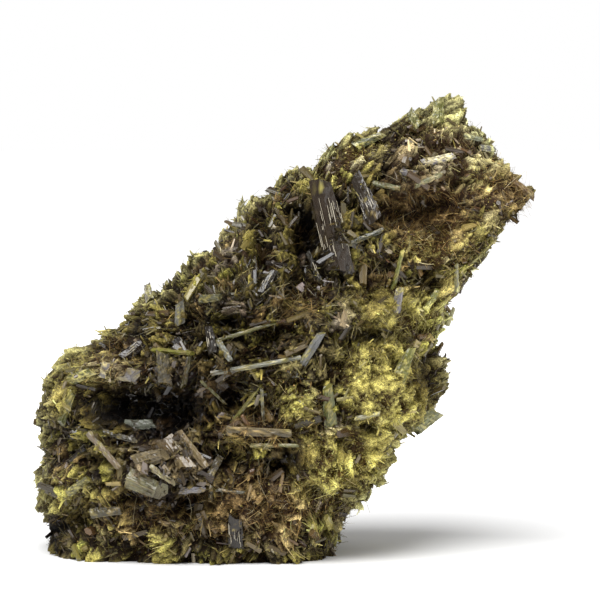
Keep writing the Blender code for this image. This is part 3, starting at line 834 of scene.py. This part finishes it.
def worn(spots, tints, knock, crusting):
    """Points of old crystals, knocked about a little, with patches of crust over them."""
    places = [Vector(spot) for spot in spots]
    knocks = BROAD_KNOCK * np.array([noise.noise_vector(place / PATCH_SIZE) for place in places])
    knocks += np.array([noise.noise_vector(place / CHIP_SIZE) for place in places])
    patches = np.array([noise.fractal(place / PATCH_SIZE, 1.0, 2.0, 4) for place in places])
    specks = np.array([noise.noise(place / SPECK_SIZE) for place in places])
    crust = np.clip(crusting + 1.5 * patches + 1.2 * specks, 0.0, MOST_CRUST)[:, None]
    light = np.clip(0.40 + 0.5 * patches + 0.9 * specks, 0.0, 1.0)
    # The crust patches take the ground's colour, with its painted light and shade.
    crusty = CRUST_DEPTH * ground_tints(spots, light, np.full(len(spots), CRUST_KIND))
    speckled = tints * (1.0 + SPECK_LIGHT * specks)[:, None]
    return spots + knock * knocks, speckled * (1.0 - crust) + crust * crusty


# %% [markdown]
# `grow` stamps a unit crystal out as often as needed, stretches each copy, turns it and
# cuts its ends at their own angles. Thousands of objects would be slow, so one stroke of
# array arithmetic does it, and the lot is one mesh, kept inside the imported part's box.

# %% Growing
NEAR_END = 0.01
BRIGHTEST = 0.9
GRAIN_REACH = 500.0
BOX_LOW = np.array(CAD_LOW) / MM + shift
BOX_HIGH = np.array(CAD_HIGH) / MM + shift


def crossed(a, b):
    """The direction square to both directions of each row."""
    made = np.cross(a, b)
    return made / np.linalg.norm(made, axis=1)[:, None]


def grow(
    name, unit, roots, along, outward, sizes, tints, finish, draw,
    chisel=0.6, tip_light=1.0, bend=0.0, wear=None,
):
    """Stamp a unit crystal out at every root, with sizes (width, thickness, length)."""
    corners, faces = unit
    z_axis = along / np.linalg.norm(along, axis=1)[:, None]
    x_axis = crossed(outward, z_axis)
    y_axis = np.cross(z_axis, x_axis)
    count = len(roots)
    local = corners[None, :, :] * sizes[:, None, :]
    slant = draw.uniform(-chisel, chisel, size=(count, 2))
    lean = slant[:, :1] * local[:, :, 0] + slant[:, 1:] * local[:, :, 1]
    local[:, :, 2] += np.where(corners[None, :, 2] > 1.0 - NEAR_END, lean, 0.0)
    local[:, :, 2] += np.where(corners[None, :, 2] < NEAR_END, lean[:, ::-1], 0.0)
    curve = draw.uniform(-bend, bend, size=(count, 1, 2)) * sizes[:, None, 2:]
    local[:, :, :2] += curve * corners[None, :, 2:] ** 2
    placed = roots[:, None, :] + (
        local[:, :, :1] * x_axis[:, None, :]
        + local[:, :, 1:2] * y_axis[:, None, :]
        + local[:, :, 2:] * z_axis[:, None, :]
    )
    # Tips painted lighter by tip_light, as light shining through thin crystals.
    lit = 1.0 + (tip_light - 1.0) * corners[None, :, 2:] ** 2
    point_tints = (tints[:, None, :] * lit).reshape(-1, 3).clip(0.0, BRIGHTEST)
    spots = placed.reshape(-1, 3)
    if wear is not None:
        spots, point_tints = worn(spots, point_tints, *wear)
    spots = np.clip(spots, BOX_LOW, BOX_HIGH)
    starts = np.arange(count)[:, None, None] * len(corners)
    rows = []
    for size in sorted({len(face) for face in faces}):
        same = np.array([face for face in faces if len(face) == size])
        rows += (starts + same[None]).reshape(-1, size).tolist()
    grain = local + draw.uniform(0.0, GRAIN_REACH, size=(count, 1, 3))
    new_piece(name, spots, rows, point_tints, grain, finish)


# %% [markdown]
# ## The crystals one would name
# The eye finds some single crystals at once: the pale rod across the middle, the blocks at
# the lower left, the plates under the crest. Each could be modelled by hand. Here a row says
# where its middle is seen, its direction in degrees, its length, width and thickness, how
# far it rises, and its colour, and is adjusted in seconds.

# %% Places of the named crystals
NAMED_CRYSTALS = (
    ((25.3, 73.2), 86, 4.6, 2.3, 2, 0, (128, 128, 62)),
    ((21.3, 72), 118, 3.6, 1.8, 1.4, 0, (120, 120, 60)),
    ((31, 69), -12, 3.4, 1, 1.4, 8, (168, 172, 140)),
    ((33.4, 67.2), -8, 2.9, 1.3, 1.2, 10, (150, 146, 140)),
    ((25.4, 65.4), 14, 5.2, 1.5, 1.4, 8, (150, 144, 150)),
    ((20.4, 63.2), -4, 3.2, 1.3, 1.2, 8, (156, 150, 152)),
    ((16.8, 61), -10, 5, 1.1, 1.2, 10, (150, 152, 110)),
    ((23.6, 62), 24, 5, 1.1, 1.2, 10, (142, 142, 96)),
    ((13.8, 68.6), 24, 4.8, 1.7, 1.4, 0, (96, 98, 48)),
    ((39.4, 60.4), -36, 4.6, 1.7, 1.6, 0, (140, 108, 66)),
    ((13, 52.4), 22, 6.4, 1.1, 1.1, 8, (60, 62, 34)),
    ((18.6, 47), 76, 6.4, 0.9, 1.6, 12, (150, 152, 76)),
    ((18.6, 42), 80, 3.6, 1.8, 1.2, 10, (146, 140, 142)),
    ((24.2, 42), 56, 4.4, 1.2, 1.1, 8, (150, 152, 70)),
    ((28.4, 45.8), 92, 5, 0.9, 1.2, 0, (176, 172, 138)),
    ((-6.9, 36.6), 17, 10.6, 0.8, 0.9, 4, (104, 104, 52)),
    ((-10.2, 33.4), -55, 4.6, 1.2, 1.1, 10, (164, 166, 156)),
    ((-5, 31), 9, 14.8, 1, 1.2, 4, (156, 156, 138)),
    ((3.6, 32.8), 58, 8.2, 1.8, 1.5, 14, (150, 150, 148)),
    ((-22.9, 43.2), 100, 3.4, 1.6, 1.2, 0, (150, 142, 124)),
    ((-17.7, 39.9), 92, 2.8, 2, 1.2, 10, (130, 128, 118)),
    ((-12.6, 42.3), 8, 4.4, 1.6, 1.3, 8, (110, 110, 84)),
    ((-28, 29.9), -6, 8, 3.1, 1.6, 6, (148, 142, 140)),
    ((-18.6, 33.4), -2, 7.4, 0.9, 2.6, 6, (160, 158, 66)),
    ((-20.4, 30.6), 96, 5, 2.6, 2.2, 0, (76, 68, 46)),
    ((-16.6, 30.2), 80, 5.2, 1, 1.6, 0, (92, 86, 50)),
    ((-24.2, 21.2), 5, 4.2, 2, 1.2, 12, (142, 146, 128)),
    ((-12, 26.4), -46, 6, 0.6, 0.7, 6, (126, 122, 70)),
    ((-6.8, 24.4), 53, 7.6, 0.8, 0.8, 6, (140, 136, 70)),
    ((-3.9, 24.1), 94, 6, 0.7, 0.7, 4, (142, 140, 120)),
    ((-4.6, 19.9), -4, 10.6, 1.7, 1.5, 6, (130, 116, 84)),
    ((-2, 17.7), 0, 7.2, 0.8, 0.9, 6, (156, 154, 96)),
    ((7.2, 24.2), 95, 6.6, 2.4, 1.6, 8, (116, 120, 58)),
    ((13.6, 22.6), 12, 4.2, 0.9, 1.2, 14, (184, 178, 140)),
    ((-30.4, 16.8), -48, 7.8, 1.3, 1.4, 6, (156, 135, 108)),
    ((-27.8, 19.2), -12, 5.6, 1.2, 1.2, 8, (96, 90, 74)),
    ((-18.4, 16.4), -48, 6.6, 3.6, 2.2, 12, (144, 120, 84)),
    ((-15.6, 17), -50, 7.4, 1.5, 1.8, 10, (172, 150, 112)),
    ((-22.6, 15.6), 20, 4.8, 3.2, 1.8, 14, (128, 111, 74)),
    ((-23.8, 11.2), -22, 6, 4, 2.8, 12, (158, 152, 106)),
    ((-20.6, 12.6), -32, 4.6, 1.2, 1.6, 14, (180, 169, 118)),
    ((-15.8, 10.2), 0, 3.8, 1.2, 1.2, 4, (176, 172, 178)),
    ((-12.6, 9.6), 90, 3.4, 0.9, 0.9, 6, (110, 106, 90)),
    ((-9.4, 10), -4, 5, 0.7, 0.9, 6, (120, 116, 96)),
    ((-12, 14), 60, 4.2, 1.6, 1.2, 10, (104, 92, 68)),
    ((23.2, 21.8), 30, 5.6, 3, 2, 6, (152, 156, 112)),
    ((19.4, 30.6), 68, 5.8, 2.8, 2.2, 12, (150, 150, 70)),
    ((-34.6, 11), 40, 5.4, 1.6, 1.4, 10, (128, 122, 66)),
    ((-30, 6.6), 8, 5.2, 2, 1.6, 10, (96, 88, 60)),
    ((-36.6, 24), 70, 5.4, 1.6, 1.3, 8, (104, 106, 52)),
    ((-34, 29.4), 24, 4.4, 2, 1.4, 8, (100, 102, 48)),
)
print("named crystals:", len(NAMED_CRYSTALS))

# %% [markdown]
# Each is laid where it is seen, at the slope of the ground, and a little sunk. An epidote
# prism is striated along its length, so it gets thin ridges on the face towards the viewer.
# Real ridges catch grazing light, which a bump alone doesn't.

# %% Lay the named crystals
STEEPEST = 40.0
SUNK_SHARE = 0.2
CHART_DEPTH = 0.42
END_SHARE = 0.4
SEARCH_REACH = 0.7
RIDGE_SPAN, RIDGE_SINK, RIDGE_THICKNESS = 0.84, 0.12, 0.36
ROOF_FALL = 1.1


def seen_depths(across, up):
    """The depth (y) of the ground where it is seen at each of these places."""
    found = []
    for a, u in zip(across, up):
        close = (np.abs(FACE_ACROSS - a) < SEARCH_REACH) & (np.abs(FACE_UP - u) < SEARCH_REACH)
        near = FACE_MIDDLES[close, 1]
        found.append(near.min() if len(near) else 0.0)
    return np.array(found)


def lie(across, up, direction, length, thickness, rise):
    """The middle, direction, side and way out of a crystal that lies where it is seen."""
    turn = math.radians(direction)
    step = END_SHARE * length * np.array((math.cos(turn), math.sin(turn)))
    ends = np.array((-1.0, 0.0, 1.0))
    depths = seen_depths(across + ends * step[0], up + ends * step[1])
    slope = math.degrees(math.atan2(depths[0] - depths[2], 2.0 * END_SHARE * length))
    slope = math.radians(max(-STEEPEST, min(STEEPEST, slope)) + rise)
    level = math.cos(slope)
    way = np.array((math.cos(turn) * level, -math.sin(slope), math.sin(turn) * level))
    depth = depths.mean() + SUNK_SHARE * thickness
    nearer = EYE[1] / (EYE[1] - depth)
    x, z = EYE[0] + (across - EYE[0]) / nearer, EYE[2] + (up - EYE[2]) / nearer
    side = np.cross((0.0, -1.0, 0.0), way)
    side /= np.linalg.norm(side)
    return np.array((x, depth, z)), way, side, np.cross(way, side)


def lay_named(rows, ridge_spacing, draw):
    """Roots, directions, ways out, sizes and tints of the named crystals and their ridges."""
    bodies, ridges = [], []
    for (across, up), direction, length, width, thickness, rise, chart in rows:
        middle, way, side, out = lie(across, up, direction, length, thickness, rise)
        own = CHART_DEPTH * paint(*chart)
        bodies.append((middle - way * length / 2, way, out, (width, thickness, length), own))
        count = round(width / ridge_spacing)
        for ridge in range(count):
            place = (ridge + draw.uniform(0.2, 0.8)) / count - 0.5
            long = length * draw.uniform(0.25, 0.9)
            start = -0.5 * length + draw.uniform(0.02, 0.98) * (length - long)
            height = 0.5 * thickness * (1.0 - ROOF_FALL * abs(place)) - RIDGE_SINK
            root = middle + side * place * width * RIDGE_SPAN + way * start + out * height
            own_tint = own * math.exp(draw.normal(0.1, 0.25))
            size = (draw.uniform(0.14, 0.42), RIDGE_THICKNESS, long)
            ridges.append((root, way, out, size, own_tint))
    return [[np.array(part) for part in zip(*laid)] for laid in (bodies, ridges)]


draw = np.random.default_rng(5)
bodies, ridges = lay_named(NAMED_CRYSTALS, 0.65, draw)
prism_look = {"chisel": 1.0, "bend": 0.01, "wear": (0.12, 0.36)}
grow("named_crystals", THICK_PRISM, *bodies, VITREOUS, draw, **prism_look)
grow("crystal_striations", LATH, *ridges, VITREOUS, draw, chisel=0.8, wear=(0.10, 0.25))

# %% [markdown]
# ## The dark prisms
# The big prism near the crest and a few more are nearly black, clean and glassy. A whole
# face would mirror the lamp as one flash, but real ones are stepped, and their striations
# shine as broken lines. So each ridge is laid as a few short pieces, and about half of them
# are painted pale as highlights, standing in for glints.

# %% Dark prisms
DARK_PRISMS = (
    ((7.4, 54), 103, 14.8, 5.2, 3.4, 8, (58, 44, 27)),
    ((9.8, 48.4), 104, 5.4, 1.8, 1.8, 4, (46, 37, 26)),
    ((13.2, 58.9), 114, 8, 2.9, 2.2, -4, (59, 48, 34)),
    ((4.6, 47.6), 112, 5, 1.1, 1.4, 0, (44, 37, 22)),
    ((-8.4, 3.2), 92, 6, 3, 2, 4, (52, 42, 30)),
    ((-3, 45), 60, 4.4, 1.6, 1.6, 8, (48, 39, 26)),
    ((-12.5, 35.2), 100, 5, 1.8, 1.8, 6, (46, 37, 24)),
    ((-25.5, 33.6), 40, 4.4, 2.2, 1.8, 8, (58, 44, 30)),
)
# Painted highlight: the pale paint of the glint pieces, standing in for glints.
PAINTED_GLINT = paint(160, 152, 134)
PAINTED_GLINT_SHARE = 0.55
GLINT_LIFT = 0.10
GLINTS_PER_RIDGE = 4

draw = np.random.default_rng(7)
bodies, ridges = lay_named(DARK_PRISMS, 0.42, draw)
grow("dark_prisms", THICK_PRISM, *bodies, VITREOUS, draw, chisel=0.7, wear=(0.10, -0.75))
draw = np.random.default_rng(9)
roots, along, outward, sizes, tints = [np.repeat(part, GLINTS_PER_RIDGE, axis=0) for part in ridges]
count = len(roots)
roots += outward * GLINT_LIFT
roots += draw.uniform(-0.25, 0.25, size=(count, 3)) * (1.0, 0.2, 0.2)
roots += along * sizes[:, 2:] * draw.uniform(0.0, 0.6, size=(count, 1))
sizes[:, 0] = draw.uniform(0.06, 0.16, size=count)
sizes[:, 2] *= draw.uniform(0.1, 0.4, size=count)
# About half the pieces are painted pale as highlights.
tints[draw.random(count) < PAINTED_GLINT_SHARE] = PAINTED_GLINT
grow("dark_striations", LATH, roots, along, outward, sizes, tints, VITREOUS, draw)

# %% [markdown]
# Small crystals lean off the way out of the rock, and the blades of one sheaf lean much the
# same way. Instead of combing them by hand, a drawn direction is mixed with the sheaf's
# own axis, so they follow the grain of the crust under them.

# %% Leaning crystals
def strewn_ways(roots, outward, lean_low, lean_high, draw, order=0.0):
    """A growing direction for each root: leant off the way out, more or less with its sheaf."""
    count = len(outward)
    lean = np.radians(draw.uniform(lean_low, lean_high, size=count))[:, None]
    sides = draw.normal(size=(count, 3))
    if order > 0:
        sheaves = [noise.voronoi(Vector(root) / SHEAF_SIZE)[1][0] for root in roots]
        sides += order * np.array([sheaf_axis(sheaf) for sheaf in sheaves])
    sides -= outward * (sides * outward).sum(axis=1)[:, None]
    sides /= np.linalg.norm(sides, axis=1)[:, None]
    return outward * np.cos(lean) + sides * np.sin(lean)


face_moss, face_felt = growth_shares(FACE_ACROSS, FACE_UP)
face_hollow = hollow_share(FACE_ACROSS, FACE_UP)
rim_faces = rim_share(FACE_ACROSS, FACE_UP)
print("faces mostly under moss:", int((face_moss > 0.5).sum()))

# %% [markdown]
# ## Dark blades
# Most of the stone is dark green, nearly black blades, lying this way and that. They are
# drawn at random and planted all over, fewer where moss or felt takes the ground.

# %% Dark blades
count = 1500
draw = np.random.default_rng(11)
weights = (1.0 - 0.95 * face_moss) * (1.0 - 0.8 * face_felt) * (1.0 - 0.7 * face_hollow)
weights *= 1.0 - 0.92 * rim_faces
roots, outward, under = plant(count, weights, draw)
along = strewn_ways(roots, outward, 58, 92, draw, order=2.4)
lengths = 1.2 + 3.4 * draw.random(count) ** 2
widths = lengths * draw.uniform(0.18, 0.45, size=count)
sizes = np.stack([widths, widths * draw.uniform(0.35, 0.8, size=count), lengths], axis=1)
roots = roots - along * (lengths * 0.4)[:, None] - outward * (widths * 0.1)[:, None]
tints = shades(under, 0.35, NIGHT, 0.4, draw)
grow("dark_blades", PRISM, roots, along, outward, sizes, tints, VITREOUS, draw)

# %% [markdown]
# ## Olive blades
# Over and between the dark ones sit thinner, younger blades. Being thin they let light
# through. See-through crystals would render slowly, so their tips are tinted lighter.

# %% Olive blades
count = 8000
draw = np.random.default_rng(13)
weights = (1.0 - 0.5 * face_moss) * (1.0 - 0.6 * face_felt) * (1.0 - 0.6 * face_hollow)
roots, outward, under = plant(count, weights, draw)
along = strewn_ways(roots, outward, 35, 92, draw, order=2.4)
lengths = 0.5 + 1.9 * draw.random(count) ** 2
widths = lengths * draw.uniform(0.14, 0.38, size=count)
sizes = np.stack([widths, widths * draw.uniform(0.25, 0.6, size=count), lengths], axis=1)
roots = roots - along * (lengths * 0.35)[:, None]
tints = shades(under, 0.7, OLIVE + NIGHT[:3], 0.5, draw)
grow("olive_blades", BLADE, roots, along, outward, sizes, tints, BLADED, draw, tip_light=1.4)

# %% [markdown]
# ## Moss-like crust
# The yellow-green crust is made of grains far under a millimetre. A texture would look flat
# at its edge, so they are real: eight-faced crumbs, heaped at drawn heights.

# %% Moss grains
def heap(name, count, weights, heights, widths, forms, tinting, draw):
    """Grow loose grains: each at its own height, turned any way, and of its own form."""
    roots, outward, under = plant(count, weights, draw)
    roots = roots + outward * draw.uniform(*heights, size=(count, 1))
    along = draw.normal(size=(count, 3))
    sizes = draw.uniform(*widths, size=(count, 1)) * draw.uniform(*forms, size=(count, 3))
    tints = shades(under, *tinting, draw)
    grow(name, GRAIN, roots, along, outward, sizes, tints, CRUST, draw)


draw = np.random.default_rng(17)
weights, tinting = face_moss**1.3 + 0.03, (0.7, PISTACHIO, 0.25)
form = ((-0.08, 0.12), (0.12, 0.42), (0.5, 1.4))
heap("moss_grains", 12000, weights, *form, tinting, draw)

# %% [markdown]
# Between the grains stand tufts of short needles, their tips painted lighter, as light
# shining through them. They give the crust and the rim of the stone their furry edge.

# %% Moss tufts
def thin_sizes(count, lengths, widths, flatness, draw):
    """Sizes of hair-thin crystals as rows of width, thickness and length."""
    long = draw.uniform(*lengths, size=count)
    wide = draw.uniform(*widths, size=count)
    return np.stack([wide, wide * flatness, long], axis=1)


draw = np.random.default_rng(37)
roots, outward, under = plant(9000, face_moss + 0.35 * rim_faces + 0.05, draw)
along = strewn_ways(roots, outward, 10, 80, draw, order=1.2)
sizes = thin_sizes(9000, (0.3, 1.1), (0.06, 0.14), 1.0, draw)
roots = roots - along * (sizes[:, 2:] * 0.3)
tints = shades(under, 0.6, PISTACHIO, 0.3, draw)
grow("moss_tufts", NEEDLE, roots, along, outward, sizes, tints, CRUST, draw, tip_light=1.5)

# %% [markdown]
# ## Brown felt
# The hollow under the crest and the lower middle are felted with curly brown fibres. Hair
# curves don't reach a mesh export, so a fibre is a three-sided needle in steps, and bent.

# %% Felt fibres
draw = np.random.default_rng(19)
weights = (face_felt**1.2 + 0.02) * (1.0 - 0.7 * rim_faces)
roots, outward, under = plant(5500, weights, draw)
along = strewn_ways(roots, outward, 30, 90, draw)
sizes = thin_sizes(5500, (0.5, 2.4), (0.05, 0.11), 1.0, draw)
tints = shades(under, 0.55, FELT_BROWN, 0.4, draw)
grow("felt_fibres", HAIR, roots, along, outward, sizes, tints, FIBROUS, draw, bend=0.5)

# %% [markdown]
# A few long, pale hairs stand out against the dark of the hollows: the same fibre, longer
# and much rarer.

# %% Long hairs
count = 60
hair_width = np.full(count, 0.09)
draw = np.random.default_rng(41)
roots, outward, under = plant(count, face_felt**2 + 0.15 * face_hollow, draw)
along = strewn_ways(roots, outward, 30, 75, draw)
sizes = np.stack([hair_width, hair_width, draw.uniform(2.5, 6.0, size=count)], axis=1)
tints = shades(under, 0.2, FELT_BROWN[3:] + FROST[:1], 0.25, draw)
grow("long_hairs", HAIR, roots, along, outward, sizes, tints, FIBROUS, draw, bend=0.6)

# %% [markdown]
# ## Needles, plates and crumbs
# Three small growths finish the surface. The first is frosty needles in sheaves, hair-thin,
# so that three sides do.

# %% Frosty needles
draw = np.random.default_rng(23)
weights = (stamped(FACE_ACROSS, FACE_UP, NEEDLE_SPOTS) + 0.3) * (1.0 - 0.5 * face_hollow)
weights *= 1.0 - 0.8 * rim_faces
roots, outward, under = plant(9000, weights, draw)
along = strewn_ways(roots, outward, 45, 92, draw, order=2.8)
sizes = thin_sizes(9000, (0.8, 3.6), (0.05, 0.15), 0.7, draw)
roots = roots - along * (sizes[:, 2:] * 0.2)
tints = shades(under, 0.6, FROST[1:2] + OLIVE, 0.4, draw)
grow("frosty_needles", NEEDLE, roots, along, outward, sizes, tints, BLADED, draw)

# %% [markdown]
# Pale plates lie almost flat on the crest and at the lower left, and mirror the lamp. A
# plate is a prism that grew sideways, so it uses the same unit crystal.

# %% Pale plates
count = 300
draw = np.random.default_rng(29)
weights = stamped(FACE_ACROSS, FACE_UP, PALE_SPOTS) + 0.12
roots, outward, under = plant(count, weights, draw)
along = strewn_ways(roots, outward, 62, 92, draw, order=1.5)
lengths = draw.uniform(0.6, 2.0, size=count)
widths = lengths * draw.uniform(0.3, 0.8, size=count)
sizes = np.stack([widths, draw.uniform(0.2, 0.5, size=count), lengths], axis=1)
roots = roots - along * (lengths * 0.4)[:, None]
tints = shades(under, 0.6, ASH, 0.3, draw)
grow("pale_plates", PRISM, roots, along, outward, sizes, tints, VITREOUS, draw)

# %% [markdown]
# Sugary crumbs lie on everything and tie the growths together. They are the moss grain
# again, in the paints of blades and felt.

# %% Crumbs
draw = np.random.default_rng(31)
tinting = (0.6, OLIVE + PISTACHIO[:1] + FELT_BROWN[:2], 0.45)
form = ((-0.05, 0.14), (0.12, 0.36), (0.5, 1.5))
heap("crumbs", 14000, 1.0 - 0.6 * face_hollow, *form, tinting, draw)

# %% [markdown]
# ## Check the size
# The dressed stone must fill the same box as the imported part, give or take a hair.

# %% Sizes
LOOKS_LOW, LOOKS_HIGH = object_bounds()
for axis, name in enumerate("XYZ"):
    grown = [(LOOKS_LOW[axis] - CAD_LOW[axis]) / MM, (LOOKS_HIGH[axis] - CAD_HIGH[axis]) / MM]
    print(name, "looks minus part in mm:", [round(g, 2) for g in grown])
